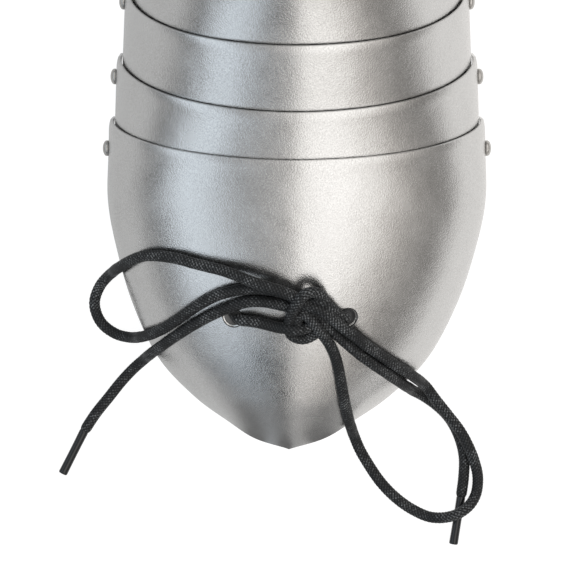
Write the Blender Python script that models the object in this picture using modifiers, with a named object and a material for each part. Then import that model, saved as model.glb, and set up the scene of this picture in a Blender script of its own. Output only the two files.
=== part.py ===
"""Steel sabaton: a pointed toe cap, four lames and an instep plate that pivot on
side rivets, with a waxed lace tied in a bow through two holes in the toe cap.

Metres, +Z up. The toe points along -Y, the floor is Z = 0, and the origin is the
middle of the plates' footprint. Each plate is nested inside the one ahead of it.
"""
import math

import bmesh
import bpy
from mathutils import Matrix, Vector

# Overall sizes of the foot form, measured on the outside of the toe cap's line.
FOOT_LENGTH = 0.228        # toe tip to the ankle end of the rivet line
HALF_WIDTH = 0.0629        # centre line to the widest wall
RIDGE_HEIGHT = 0.103       # floor to the ridge at the ankle end
RIVET_HEIGHT = 0.016       # floor to the first pair of rivets
TOE_SWEEP = 0.0026         # how far the tip turns towards -X

# Sheet and fit.
SHEET = 0.0010             # thickness of every plate
RUNNING_GAP = 0.0010       # air between nested plates
REAR_LAP = 0.22            # rear edge past its rivets, share of the rivet spacing
FRONT_LAP = 0.33           # front edge ahead of its rivets, share of the spacing
WALL_LEAN_SHARE = 0.35     # lean of the straight walls, share of the arch's lean
KEEL_SLOPE = 0.10          # how steeply the roof falls from the keel
KEEL_ROUND = 0.0045        # rounding of the keel line

# Rivets.
SHANK_RADIUS = 0.0016
HEAD_RADIUS = 0.0026
HEAD_HEIGHT = 0.0022
HEAD_RIM = 0.0007          # straight rim under the dome
TAIL_RADIUS = 0.0024
TAIL_HEIGHT = 0.0010
CLEARANCE = 0.0003         # air between a fixed piece and what it passes or seats on
TRIM = 0.0010              # length of the walls that is cut off flush with the floor

# Lace.
CORD_RADIUS = 0.0018
LACE_HOLE_RADIUS = 0.0030
LACE_HOLE_ALONG = 0.0445   # behind the tip
LACE_HOLE_ASIDE = 0.0185   # from the middle between the holes
LACE_HOLE_SHIFT = -0.0015  # of that middle from the centre line
AGLET_RADIUS = 0.0015
AGLET_LENGTH = 0.0160
AGLET_EDGE_SHARE = 0.3     # rounding of the aglet's end, share of its radius

# Fineness of the meshes.
ARCH_STEPS = 24
WALL_STEPS = 1
CAP_STEPS = 17
LAME_STEPS = 5
INSTEP_STEPS = 7
RIVET_SIDES = 10
AGLET_SIDES = 10
KNOT_SEGMENTS = 14
KNOT_RINGS = 8
CORD_STEP = 0.0088         # between the points of a loop or tail
RUN_STEP = 0.0040          # between the points of a run, which bends more tightly
DOME_STEPS = 2
HOLE_SIDES = 16
SEARCH_STEPS = 60          # fineness of the search for a place on the cap
CURVE_STEPS = 12           # samples between two route points
CORD_ARC_STEPS = 2

# Cutters and merging.
RIVET_DRILL = 2.2 * HALF_WIDTH        # drill lengths, enough to pass right through
LACE_DRILL = 8 * SHEET
TRIM_BLOCK = 1.0                      # side of the block that trims the walls
MERGE = 0.000001                      # points nearer than this are one
TURN_MERGE = 0.00001
SLACK = 0.000000001

# Sections of the foot form, from the tip to the ankle. Lengths are shares:
# along of FOOT_LENGTH, wide of HALF_WIDTH, ridge of RIDGE_HEIGHT and wall, the top
# of the straight side wall, of RIVET_HEIGHT. The lean towards the toe is in
# degrees, and square is the exponent that fills out the arch's shoulders.
FORM_COLUMNS = ("along", "wide", "ridge", "wall", "lean", "square")
FORM = (
    (0.000, 0.000, 0.045, 0.09, 0.0, 2.00),
    (0.016, 0.184, 0.112, 0.22, 0.0, 2.00),
    (0.041, 0.328, 0.180, 0.34, 0.0, 2.10),
    (0.079, 0.518, 0.267, 0.50, 0.0, 2.20),
    (0.136, 0.714, 0.359, 0.66, 1.0, 2.30),
    (0.214, 0.855, 0.442, 0.81, 3.0, 2.40),
    (0.290, 0.941, 0.498, 0.93, 6.0, 2.50),
    (0.364, 0.994, 0.536, 0.98, 9.5, 2.60),
    (0.440, 0.992, 0.563, 1.00, 12.5, 2.70),
    (0.544, 0.983, 0.611, 1.03, 20.5, 2.70),
    (0.652, 0.968, 0.697, 1.13, 22.5, 2.70),
    (0.757, 0.946, 0.777, 1.38, 27.0, 2.60),
    (0.860, 0.922, 0.869, 1.88, 33.0, 2.50),
    (1.000, 0.874, 1.000, 2.75, 40.0, 2.40),
)
FIRST_RIVET_ROW = 8
JOINTS = 5
LAST_ROW = len(FORM) - 1

# The lace's routes, chosen point by point: aside from the centre line, behind the
# tip, and above the floor. Runs start under the cap and end in the knot, loops
# leave the knot and come back to it, and tails go from the knot to their aglets.
LACE_ROUTES = {
    "run_left": (
        (-0.0013, 0.0470, 0.0308), (-0.0060, 0.0472, 0.0306), (-0.0116, 0.0486, 0.0300),
        (-0.0162, 0.0495, 0.0301), (-0.0196, 0.0488, 0.0320), (-0.0215, 0.0473, 0.0351),
        (-0.0214, 0.0457, 0.0385), (-0.0207, 0.0446, 0.0407), (-0.0199, 0.0439, 0.0426),
        (-0.0183, 0.0435, 0.0442), (-0.0160, 0.0433, 0.0451), (-0.0131, 0.0429, 0.0448),
        (-0.0082, 0.0417, 0.0450), (-0.0032, 0.0408, 0.0458), (0.0018, 0.0408, 0.0464),
    ),
    "run_right": (
        (-0.0004, 0.0470, 0.0308), (0.0038, 0.0476, 0.0310), (0.0080, 0.0493, 0.0312),
        (0.0118, 0.0502, 0.0315), (0.0147, 0.0491, 0.0325), (0.0162, 0.0471, 0.0349),
        (0.0165, 0.0456, 0.0383), (0.0166, 0.0446, 0.0414), (0.0159, 0.0444, 0.0442),
        (0.0142, 0.0450, 0.0461), (0.0124, 0.0464, 0.0465), (0.0093, 0.0485, 0.0477),
        (0.0056, 0.0491, 0.0488), (0.0018, 0.0482, 0.0491),
    ),
    "loop_left": (
        (0.0018, 0.0502, 0.0531), (-0.0035, 0.0524, 0.0543), (-0.0097, 0.0544, 0.0545),
        (-0.0154, 0.0564, 0.0537), (-0.0200, 0.0582, 0.0520), (-0.0242, 0.0597, 0.0501),
        (-0.0286, 0.0608, 0.0482), (-0.0334, 0.0620, 0.0465), (-0.0380, 0.0633, 0.0448),
        (-0.0422, 0.0641, 0.0428), (-0.0460, 0.0645, 0.0404), (-0.0493, 0.0645, 0.0379),
        (-0.0520, 0.0639, 0.0351), (-0.0543, 0.0630, 0.0322), (-0.0562, 0.0621, 0.0291),
        (-0.0578, 0.0612, 0.0260), (-0.0591, 0.0605, 0.0228), (-0.0599, 0.0601, 0.0194),
        (-0.0604, 0.0598, 0.0155), (-0.0609, 0.0596, 0.0114), (-0.0616, 0.0591, 0.0077),
        (-0.0630, 0.0581, 0.0042), (-0.0657, 0.0551, 0.0021), (-0.0678, 0.0490, 0.0018),
        (-0.0656, 0.0425, 0.0018), (-0.0603, 0.0385, 0.0020), (-0.0560, 0.0375, 0.0039),
        (-0.0539, 0.0375, 0.0072), (-0.0529, 0.0376, 0.0108), (-0.0521, 0.0378, 0.0149),
        (-0.0513, 0.0379, 0.0185), (-0.0498, 0.0383, 0.0216), (-0.0480, 0.0388, 0.0247),
        (-0.0459, 0.0397, 0.0277), (-0.0436, 0.0408, 0.0306), (-0.0412, 0.0423, 0.0333),
        (-0.0386, 0.0440, 0.0360), (-0.0359, 0.0459, 0.0385), (-0.0329, 0.0479, 0.0410),
        (-0.0296, 0.0498, 0.0433), (-0.0258, 0.0516, 0.0454), (-0.0214, 0.0529, 0.0472),
        (-0.0163, 0.0537, 0.0488), (-0.0105, 0.0536, 0.0498), (-0.0040, 0.0523, 0.0500),
        (0.0018, 0.0494, 0.0495),
    ),
    "loop_right": (
        (0.0018, 0.0489, 0.0522), (0.0074, 0.0469, 0.0517), (0.0114, 0.0442, 0.0499),
        (0.0146, 0.0417, 0.0478), (0.0171, 0.0396, 0.0453), (0.0194, 0.0378, 0.0426),
        (0.0217, 0.0359, 0.0399), (0.0241, 0.0343, 0.0372), (0.0266, 0.0325, 0.0346),
        (0.0292, 0.0307, 0.0320), (0.0316, 0.0291, 0.0293), (0.0339, 0.0276, 0.0266),
        (0.0360, 0.0264, 0.0237), (0.0379, 0.0252, 0.0207), (0.0393, 0.0242, 0.0174),
        (0.0402, 0.0236, 0.0139), (0.0412, 0.0228, 0.0104), (0.0432, 0.0209, 0.0075),
        (0.0463, 0.0168, 0.0062), (0.0505, 0.0115, 0.0062), (0.0546, 0.0061, 0.0060),
        (0.0576, 0.0005, 0.0055), (0.0595, -0.0044, 0.0041), (0.0606, -0.0093, 0.0024),
        (0.0600, -0.0149, 0.0026), (0.0578, -0.0185, 0.0048), (0.0536, -0.0215, 0.0061),
        (0.0486, -0.0228, 0.0047), (0.0443, -0.0226, 0.0026), (0.0389, -0.0203, 0.0018),
        (0.0332, -0.0163, 0.0018), (0.0283, -0.0113, 0.0018), (0.0243, -0.0056, 0.0018),
        (0.0210, 0.0001, 0.0020), (0.0193, 0.0041, 0.0039), (0.0185, 0.0062, 0.0071),
        (0.0181, 0.0075, 0.0107), (0.0176, 0.0088, 0.0141), (0.0171, 0.0105, 0.0172),
        (0.0166, 0.0124, 0.0203), (0.0161, 0.0146, 0.0233), (0.0156, 0.0170, 0.0261),
        (0.0150, 0.0197, 0.0289), (0.0145, 0.0226, 0.0316), (0.0139, 0.0256, 0.0342),
        (0.0132, 0.0289, 0.0367), (0.0123, 0.0318, 0.0393), (0.0112, 0.0344, 0.0420),
        (0.0098, 0.0368, 0.0448), (0.0079, 0.0393, 0.0475), (0.0055, 0.0426, 0.0495),
        (0.0018, 0.0463, 0.0509),
    ),
    "tail_left": (
        (0.0018, 0.0461, 0.0483), (-0.0047, 0.0484, 0.0484), (-0.0111, 0.0496, 0.0481),
        (-0.0167, 0.0494, 0.0470), (-0.0213, 0.0480, 0.0452), (-0.0253, 0.0464, 0.0432),
        (-0.0290, 0.0446, 0.0410), (-0.0323, 0.0428, 0.0387), (-0.0353, 0.0411, 0.0363),
        (-0.0381, 0.0393, 0.0337), (-0.0406, 0.0377, 0.0310), (-0.0428, 0.0362, 0.0282),
        (-0.0448, 0.0348, 0.0253), (-0.0464, 0.0337, 0.0222), (-0.0478, 0.0327, 0.0190),
        (-0.0487, 0.0320, 0.0159), (-0.0493, 0.0316, 0.0123), (-0.0501, 0.0310, 0.0080),
        (-0.0514, 0.0299, 0.0046), (-0.0542, 0.0275, 0.0022), (-0.0586, 0.0229, 0.0018),
        (-0.0630, 0.0174, 0.0018), (-0.0674, 0.0119, 0.0018), (-0.0713, 0.0060, 0.0018),
    ),
    "tail_right": (
        (0.0018, 0.0473, 0.0482), (0.0061, 0.0447, 0.0466), (0.0094, 0.0419, 0.0446),
        (0.0126, 0.0391, 0.0426), (0.0156, 0.0364, 0.0405), (0.0185, 0.0339, 0.0383),
        (0.0214, 0.0316, 0.0360), (0.0242, 0.0296, 0.0335), (0.0268, 0.0278, 0.0310),
        (0.0292, 0.0262, 0.0283), (0.0313, 0.0247, 0.0255), (0.0332, 0.0235, 0.0226),
        (0.0348, 0.0224, 0.0195), (0.0361, 0.0215, 0.0164), (0.0370, 0.0210, 0.0130),
        (0.0377, 0.0205, 0.0091), (0.0389, 0.0197, 0.0056), (0.0416, 0.0183, 0.0029),
        (0.0461, 0.0153, 0.0018), (0.0510, 0.0105, 0.0018), (0.0543, 0.0044, 0.0018),
        (0.0560, -0.0023, 0.0018), (0.0559, -0.0092, 0.0018), (0.0550, -0.0161, 0.0018),
    ),
}

KNOT_CENTRE = (0.0022, 0.0458, 0.0502)
KNOT_HALVES = (0.0066, 0.0088, 0.0044)   # across, along the keel, away from the cap
KNOT_PITCH = 24.5                        # degrees, so that it lies on the cap's slope
AGLET_TURNS = {"left": (-0.0792, -0.0096), "right": (0.0526, -0.0310)}
AGLET_REST = 0.0016                      # height of the aglet's far end

STEEL = ("brushed_steel", (0.56, 0.56, 0.55), 0.34, 1.0)
RIVET_STEEL = ("rivet_steel", (0.52, 0.52, 0.51), 0.30, 1.0)
COTTON = ("waxed_cotton", (0.016, 0.016, 0.017), 0.55, 0.0)
PLASTIC = ("black_plastic", (0.010, 0.010, 0.011), 0.25, 0.0)


def clear_scene():
    """Remove every object that the scene starts with."""
    for obj in list(bpy.data.objects):
        bpy.data.objects.remove(obj, do_unlink=True)


def new_collection(name):
    """A collection under the scene's own."""
    collection = bpy.data.collections.new(name)
    bpy.context.scene.collection.children.link(collection)
    return collection


def new_material(look):
    """A plain material from a name, a colour, a roughness and a metallic value."""
    name, colour, roughness, metallic = look
    material = bpy.data.materials.new(name)
    material.use_nodes = True
    shader = material.node_tree.nodes["Principled BSDF"]
    shader.inputs["Base Color"].default_value = (*colour, 1.0)
    shader.inputs["Roughness"].default_value = roughness
    shader.inputs["Metallic"].default_value = metallic
    return material


def through_rows(before, start, end, after, share):
    """A value on the smooth curve through four neighbouring table values."""
    slope_in = (end - before) / 2
    slope_out = (after - start) / 2
    square = share * share
    cube = square * share
    return (
        start * (2 * cube - 3 * square + 1)
        + slope_in * (cube - 2 * square + share)
        + end * (3 * square - 2 * cube)
        + slope_out * (cube - square)
    )


def form_at(row):
    """The form table's values at a row number that may lie between two rows."""
    index = min(int(row), LAST_ROW - 1)
    values = {}
    for column, name in enumerate(FORM_COLUMNS):
        start = FORM[index][column]
        end = FORM[index + 1][column]
        before = FORM[index - 1][column] if index > 0 else 2 * start - end
        after = FORM[index + 2][column] if index + 2 <= LAST_ROW else 2 * end - start
        values[name] = through_rows(before, start, end, after, row - index)
    values["along"] *= FOOT_LENGTH
    values["wide"] *= HALF_WIDTH
    values["ridge"] *= RIDGE_HEIGHT
    values["wall"] *= RIVET_HEIGHT
    values["lean"] = math.radians(values["lean"])
    return values


def wall_foot(form):
    """Where a section's straight wall meets the floor, behind the tip."""
    return form["along"] + form["wall"] * math.tan(form["lean"] * WALL_LEAN_SHARE)


TIP_Y = -wall_foot(form_at(LAST_ROW)) / 2


def toe_turn(along):
    """How far the centre line has turned aside at a distance behind the tip."""
    left = 1 - along / (FORM[FIRST_RIVET_ROW][0] * FOOT_LENGTH)
    return -TOE_SWEEP * max(left, 0.0) ** 2


def section_point(form, inset, turn):
    """A point of one section. turn runs over the arch from -1 to 1, where the
    straight walls start, and on to -2 and 2 just under the floor."""
    wide = max(form["wide"] - inset, 0.0)
    side = math.copysign(1.0, turn)
    if abs(turn) > 1:
        height = form["wall"] - (form["wall"] + TRIM) * (abs(turn) - 1)
        back = (form["wall"] - height) * math.tan(form["lean"] * WALL_LEAN_SHARE)
        aside = side * wide
    else:
        aside = wide * math.sin(turn * math.pi / 2)
        reach = (form["ridge"] - form["wall"]) / math.cos(form["lean"]) - inset
        keel = KEEL_SLOPE * (math.hypot(aside, KEEL_ROUND) - KEEL_ROUND)
        fullness = math.sqrt(max(1 - abs(math.sin(turn * math.pi / 2)) ** form["square"], 0.0))
        rise = (reach - keel) * fullness
        height = form["wall"] + rise * math.cos(form["lean"])
        back = -rise * math.sin(form["lean"])
    along = form["along"] + back
    return Vector((aside + toe_turn(along), TIP_Y + along, height))


def section_turns():
    """Turns of a section's points, from the left foot over the ridge to the right."""
    walls = [2 - step / WALL_STEPS for step in range(WALL_STEPS)]
    arch = [1 - 2 * step / ARCH_STEPS for step in range(ARCH_STEPS + 1)]
    return [-turn for turn in walls] + [-turn for turn in arch] + walls[::-1]


def nesting(plate):
    """How far plate number plate, counted from the toe cap, lies inside the form."""
    return plate * (SHEET + RUNNING_GAP)


def rivet_place(joint):
    """Row values at a pair of rivets, counted from 1 at the toe cap."""
    return form_at(FIRST_RIVET_ROW + joint - 1)


def pivot_point(joint):
    """The middle of the axis through a pair of rivets."""
    form = rivet_place(joint)
    return Vector((0.0, TIP_Y + form["along"], form["wall"]))


def make_plate(name, plate, first_row, last_row, steps, collection, material):
    """Loft one plate between two rows of the form and give it its sheet. The plates
    behind the toe cap have their origin on the axis of the rivets they turn on."""
    turns = section_turns()
    origin = pivot_point(plate) if plate else Vector((0.0, 0.0, 0.0))
    mesh = bpy.data.meshes.new(name)
    work = bmesh.new()
    rows = []
    for step in range(steps + 1):
        form = form_at(first_row + (last_row - first_row) * step / steps)
        section = [section_point(form, nesting(plate), turn) - origin for turn in turns]
        rows.append([work.verts.new(point) for point in section])
    for ahead, behind in zip(rows, rows[1:]):
        for near in range(len(turns) - 1):
            corners = (ahead[near], ahead[near + 1], behind[near + 1], behind[near])
            work.faces.new(corners)
    bmesh.ops.remove_doubles(work, verts=work.verts, dist=MERGE)
    bmesh.ops.dissolve_degenerate(work, edges=work.edges, dist=MERGE)
    work.to_mesh(mesh)
    work.free()
    mesh.shade_smooth()
    mesh.materials.append(material)
    obj = bpy.data.objects.new(name, mesh)
    obj.location = origin
    collection.objects.link(obj)
    sheet = obj.modifiers.new("sheet", "SOLIDIFY")
    sheet.thickness = SHEET
    sheet.offset = -1
    sheet.use_even_offset = True
    return obj


def drill(obj, cutter):
    """Take a cutter's shape out of a piece."""
    cut = obj.modifiers.new(cutter.name, "BOOLEAN")
    cut.operation = "DIFFERENCE"
    cut.solver = "EXACT"
    cut.object = cutter


def trim_to_floor(plates, cutters):
    """Cut the walls off flush with the floor, so that every rim is flat."""
    block = bmesh.new()
    bmesh.ops.create_cube(block, size=TRIM_BLOCK)
    bmesh.ops.translate(block, vec=(0.0, 0.0, -TRIM_BLOCK / 2), verts=block.verts)
    mesh = bpy.data.meshes.new("floor_trim")
    block.to_mesh(mesh)
    block.free()
    cutter = bpy.data.objects.new("floor_trim", mesh)
    cutter.hide_render = True
    cutter.display_type = "WIRE"
    cutters.objects.link(cutter)
    for plate in plates:
        drill(plate, cutter)


def add_cutter(name, centre, direction, radius, length, cutters):
    """A hidden cylinder along a direction, used to drill a hole."""
    work = bmesh.new()
    bmesh.ops.create_cone(work, cap_ends=True, segments=HOLE_SIDES, radius1=radius,
                          radius2=radius, depth=length)
    mesh = bpy.data.meshes.new(name)
    work.to_mesh(mesh)
    work.free()
    cutter = bpy.data.objects.new(name, mesh)
    cutter.location = centre
    cutter.rotation_euler = direction.to_track_quat("Z", "Y").to_euler()
    cutter.hide_render = True
    cutter.display_type = "WIRE"
    cutters.objects.link(cutter)
    return cutter


def drill_rivet_row(plates, joint, cutters):
    """Drill the pair of holes that the rivets of one joint pass through."""
    cutter = add_cutter(f"rivet_drill_{joint}", pivot_point(joint), Vector((1, 0, 0)),
                        SHANK_RADIUS + CLEARANCE, RIVET_DRILL, cutters)
    drill(plates[joint - 1], cutter)
    drill(plates[joint], cutter)


def rivet_profile(grip):
    """Outline of a rivet from the top of its dome down to its tail. The outer face
    of the plates is at height 0, and grip is the depth of the two plates."""
    seat = CLEARANCE
    dome = HEAD_HEIGHT - HEAD_RIM
    points = [(0.0, seat + HEAD_HEIGHT)]
    for step in range(1, DOME_STEPS + 1):
        angle = math.pi / 2 * step / DOME_STEPS
        points.append((HEAD_RADIUS * math.sin(angle), seat + HEAD_RIM + dome * math.cos(angle)))
    points.append((HEAD_RADIUS, seat))
    points.append((SHANK_RADIUS, seat))
    points.append((SHANK_RADIUS, -grip - CLEARANCE))
    points.append((TAIL_RADIUS, -grip - CLEARANCE))
    points.append((TAIL_RADIUS, -grip - CLEARANCE - TAIL_HEIGHT))
    points.append((0.0, -grip - CLEARANCE - TAIL_HEIGHT))
    return points


def make_rivet(name, joint, side, collection, material):
    """A dome-headed rivet turned about its own axis, with its origin on the wall."""
    form = rivet_place(joint)
    grip = 2 * SHEET + RUNNING_GAP
    mesh = bpy.data.meshes.new(name)
    outline = [(radius, 0.0, height) for radius, height in rivet_profile(grip)]
    edges = [(index, index + 1) for index in range(len(outline) - 1)]
    mesh.from_pydata(outline, edges, [])
    mesh.materials.append(material)
    obj = bpy.data.objects.new(name, mesh)
    collection.objects.link(obj)
    turned = obj.modifiers.new("turned", "SCREW")
    turned.axis = "Z"
    turned.steps = RIVET_SIDES
    turned.render_steps = RIVET_SIDES
    turned.use_merge_vertices = True
    turned.merge_threshold = TURN_MERGE
    obj.rotation_euler = (0.0, side * math.pi / 2, 0.0)
    obj.location = pivot_point(joint) + Vector((side * (form["wide"] - nesting(joint - 1)), 0, 0))
    return obj


def form_normal(aside, along):
    """The toe cap's outside point and outward direction nearest a plan position."""
    best = None
    for row_step in range(FIRST_RIVET_ROW * SEARCH_STEPS):
        form = form_at(row_step / SEARCH_STEPS)
        for turn_step in range(-SEARCH_STEPS, SEARCH_STEPS + 1):
            turn = turn_step / SEARCH_STEPS
            place = section_point(form, 0.0, turn)
            miss = math.hypot(place.x - aside, place.y - TIP_Y - along)
            if best is None or miss < best[0]:
                best = (miss, place, row_step / SEARCH_STEPS, turn)
    step = 1 / SEARCH_STEPS
    place, row, turn = best[1:]
    forward = section_point(form_at(row + step), 0.0, turn) - place
    across = section_point(form_at(row), 0.0, turn + step) - place
    return place, across.cross(forward).normalized()


def drill_lace_holes(cap, cutters):
    """Drill the two holes that the lace passes through, square to the cap."""
    for side, name in ((-1, "lace_drill_left"), (1, "lace_drill_right")):
        aside = side * LACE_HOLE_ASIDE + LACE_HOLE_SHIFT + toe_turn(LACE_HOLE_ALONG)
        place, outward = form_normal(aside, LACE_HOLE_ALONG)
        drill(cap, add_cutter(name, place, outward, LACE_HOLE_RADIUS, LACE_DRILL, cutters))


def route_point(point):
    """A lace point in the object's own frame."""
    aside, along, height = point
    return Vector((aside, TIP_Y + along, height))


def smooth_route(points, wanted):
    """Points about wanted apart along the smooth curve through a route's points."""
    places = [route_point(point) for point in points]
    places = [2 * places[0] - places[1], *places, 2 * places[-1] - places[-2]]
    fine = []
    for before, start, end, after in zip(places, places[1:], places[2:], places[3:]):
        for step in range(CURVE_STEPS):
            share = step / CURVE_STEPS
            place = Vector([through_rows(before[axis], start[axis], end[axis], after[axis],
                                         share) for axis in range(3)])
            place.z = max(place.z, CORD_RADIUS)
            fine.append(place)
    fine.append(places[-2])
    length = sum((b - a).length for a, b in zip(fine, fine[1:]))
    count = round(length / wanted)
    spacing = length / count
    chosen = [fine[0]]
    walked = 0.0
    for a, b in zip(fine, fine[1:]):
        reach = (b - a).length
        while len(chosen) <= count and walked + reach >= spacing * len(chosen) - SLACK:
            chosen.append(a.lerp(b, (spacing * len(chosen) - walked) / reach))
        walked += reach
    return chosen


def make_cord(name, collection, material):
    """One stretch of the lace: a tube of its own, made a mesh with closed ends."""
    route = name.removeprefix("lace_")
    points = smooth_route(LACE_ROUTES[route], RUN_STEP if route.startswith("run") else CORD_STEP)
    curve = bpy.data.curves.new(name, "CURVE")
    curve.dimensions = "3D"
    curve.bevel_depth = CORD_RADIUS
    curve.bevel_resolution = CORD_ARC_STEPS
    curve.use_fill_caps = True
    spline = curve.splines.new("POLY")
    spline.points.add(len(points) - 1)
    for place, point in zip(points, spline.points):
        point.co = (*place, 1.0)
    tube = bpy.data.objects.new(name + "_curve", curve)
    collection.objects.link(tube)
    bpy.context.view_layer.update()
    seen = tube.evaluated_get(bpy.context.evaluated_depsgraph_get())
    mesh = bpy.data.meshes.new_from_object(seen)
    work = bmesh.new()
    work.from_mesh(mesh)
    bmesh.ops.remove_doubles(work, verts=work.verts, dist=MERGE)
    work.to_mesh(mesh)
    work.free()
    cord = bpy.data.objects.new(name, mesh)
    cord.matrix_world = tube.matrix_world
    mesh.materials.clear()
    mesh.materials.append(material)
    collection.objects.link(cord)
    bpy.data.objects.remove(tube, do_unlink=True)
    return cord


def knot_object(name, swell, collection):
    """The knot's outer shape: a ball pressed flat on the cap, larger by swell."""
    work = bmesh.new()
    bmesh.ops.create_uvsphere(work, u_segments=KNOT_SEGMENTS, v_segments=KNOT_RINGS, radius=1.0)
    halves = [half + swell for half in KNOT_HALVES]
    pitch = Matrix.Rotation(math.radians(KNOT_PITCH), 4, "X")
    bmesh.ops.transform(work, matrix=pitch @ Matrix.Diagonal((*halves, 1.0)), verts=work.verts)
    mesh = bpy.data.meshes.new(name)
    work.to_mesh(mesh)
    work.free()
    mesh.shade_smooth()
    obj = bpy.data.objects.new(name, mesh)
    obj.location = route_point(KNOT_CENTRE)
    collection.objects.link(obj)
    return obj


def make_aglet(side, collection, material):
    """A plain tube tip that carries on from the end of a tail and lies on the floor."""
    tail = route_point(LACE_ROUTES[f"tail_{side}"][-1])
    aim = route_point((*AGLET_TURNS[side], AGLET_REST)) - tail
    edge = AGLET_RADIUS * AGLET_EDGE_SHARE
    outline = [
        (0.0, AGLET_LENGTH),
        (AGLET_RADIUS - edge, AGLET_LENGTH),
        (AGLET_RADIUS, AGLET_LENGTH - edge),
        (AGLET_RADIUS, 0.0),
        (0.0, 0.0),
    ]
    mesh = bpy.data.meshes.new(f"aglet_{side}")
    edges = [(index, index + 1) for index in range(len(outline) - 1)]
    mesh.from_pydata([(radius, 0.0, height) for radius, height in outline], edges, [])
    mesh.materials.append(material)
    obj = bpy.data.objects.new(f"aglet_{side}", mesh)
    collection.objects.link(obj)
    turned = obj.modifiers.new("turned", "SCREW")
    turned.steps = AGLET_SIDES
    turned.render_steps = AGLET_SIDES
    turned.use_merge_vertices = True
    turned.merge_threshold = TURN_MERGE
    obj.rotation_euler = aim.to_track_quat("Z", "Y").to_euler()
    obj.location = tail + aim.normalized() * CLEARANCE
    return obj


def make_lace(cap, collection, cutters):
    """Knot, runs, loops, tails and aglets, each a piece of its own."""
    cotton = new_material(COTTON)
    plastic = new_material(PLASTIC)
    drill_lace_holes(cap, cutters)
    knot = knot_object("lace_knot", 0.0, collection)
    knot.data.materials.append(cotton)
    room = knot_object("knot_room", CLEARANCE, cutters)
    room.hide_render = True
    room.display_type = "WIRE"
    for route in LACE_ROUTES:
        drill(make_cord(f"lace_{route}", collection, cotton), room)
    for side in AGLET_TURNS:
        make_aglet(side, collection, plastic)


def main():
    clear_scene()
    sabaton = new_collection("sabaton")
    cutters = new_collection("cutters")
    steel = new_material(STEEL)
    rivet_steel = new_material(RIVET_STEEL)

    last_lame = JOINTS - 1
    plates = [make_plate("toe_cap", 0, 0, FIRST_RIVET_ROW + REAR_LAP, CAP_STEPS, sabaton, steel)]
    for number in range(1, last_lame + 1):
        front = FIRST_RIVET_ROW + number - 1
        plates.append(make_plate(f"lame_{number}", number, front - FRONT_LAP,
                                 front + 1 + REAR_LAP, LAME_STEPS, sabaton, steel))
    plates.append(make_plate("instep_plate", JOINTS, FIRST_RIVET_ROW + JOINTS - 1 - FRONT_LAP,
                             LAST_ROW, INSTEP_STEPS, sabaton, steel))
    trim_to_floor(plates, cutters)
    for joint in range(1, JOINTS + 1):
        drill_rivet_row(plates, joint, cutters)
        make_rivet(f"rivet_{joint}_left", joint, -1, sabaton, rivet_steel)
        make_rivet(f"rivet_{joint}_right", joint, 1, sabaton, rivet_steel)
    make_lace(plates[0], sabaton, cutters)


main()
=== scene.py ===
"""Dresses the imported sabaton: satin ground steel plates on domed rivets, and a black
waxed braided lace tied in a bow. Metres throughout, in the frame of the solids."""
import math

import bmesh
import bpy
import numpy as np
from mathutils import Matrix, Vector


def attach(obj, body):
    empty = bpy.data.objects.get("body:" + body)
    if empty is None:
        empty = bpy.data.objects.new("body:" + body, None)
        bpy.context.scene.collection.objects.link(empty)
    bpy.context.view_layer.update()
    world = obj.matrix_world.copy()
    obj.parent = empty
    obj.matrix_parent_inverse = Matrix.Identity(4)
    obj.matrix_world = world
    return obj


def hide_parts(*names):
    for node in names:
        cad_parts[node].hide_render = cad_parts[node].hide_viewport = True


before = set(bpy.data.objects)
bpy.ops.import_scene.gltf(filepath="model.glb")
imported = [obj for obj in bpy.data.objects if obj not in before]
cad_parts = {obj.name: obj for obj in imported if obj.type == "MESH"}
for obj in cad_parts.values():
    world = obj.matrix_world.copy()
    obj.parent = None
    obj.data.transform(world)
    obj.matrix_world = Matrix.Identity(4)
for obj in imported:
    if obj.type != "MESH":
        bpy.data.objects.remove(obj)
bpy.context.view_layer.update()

# Form of the plates, with the same named values as the solids.
FOOT_LENGTH = 0.228
HALF_WIDTH = 0.0629
RIDGE_HEIGHT = 0.103
RIVET_HEIGHT = 0.016
TOE_SWEEP = 0.0026
SHEET = 0.0010
RUNNING_GAP = 0.0010
REAR_LAP = 0.22
FRONT_LAP = 0.33
WALL_LEAN_SHARE = 0.35
KEEL_SLOPE = 0.10
KEEL_ROUND = 0.0045
EDGE_BULGE = 0.00030       # how far a filed edge stands past the sheet's end
EDGE_SQUARENESS = 0.6      # 1 is a half circle, less is squarer
LIP_ROWS = 0.12            # how many rows the hammered rear edge takes up

# Rear edges, plate by plate: rows further back on the ridge, more rows at the sides, and
# how far the edge is hammered in to close on the next plate.
REAR_EDGES = (
    (0.00, 0.20, 0.00040),
    (-0.11, 0.15, 0.00040),
    (-0.10, 0.04, 0.00030),
    (0.00, 0.00, 0.00010),
    (0.00, 0.00, 0.00010),
    (0.00, 0.00, 0.00000),
)

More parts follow.
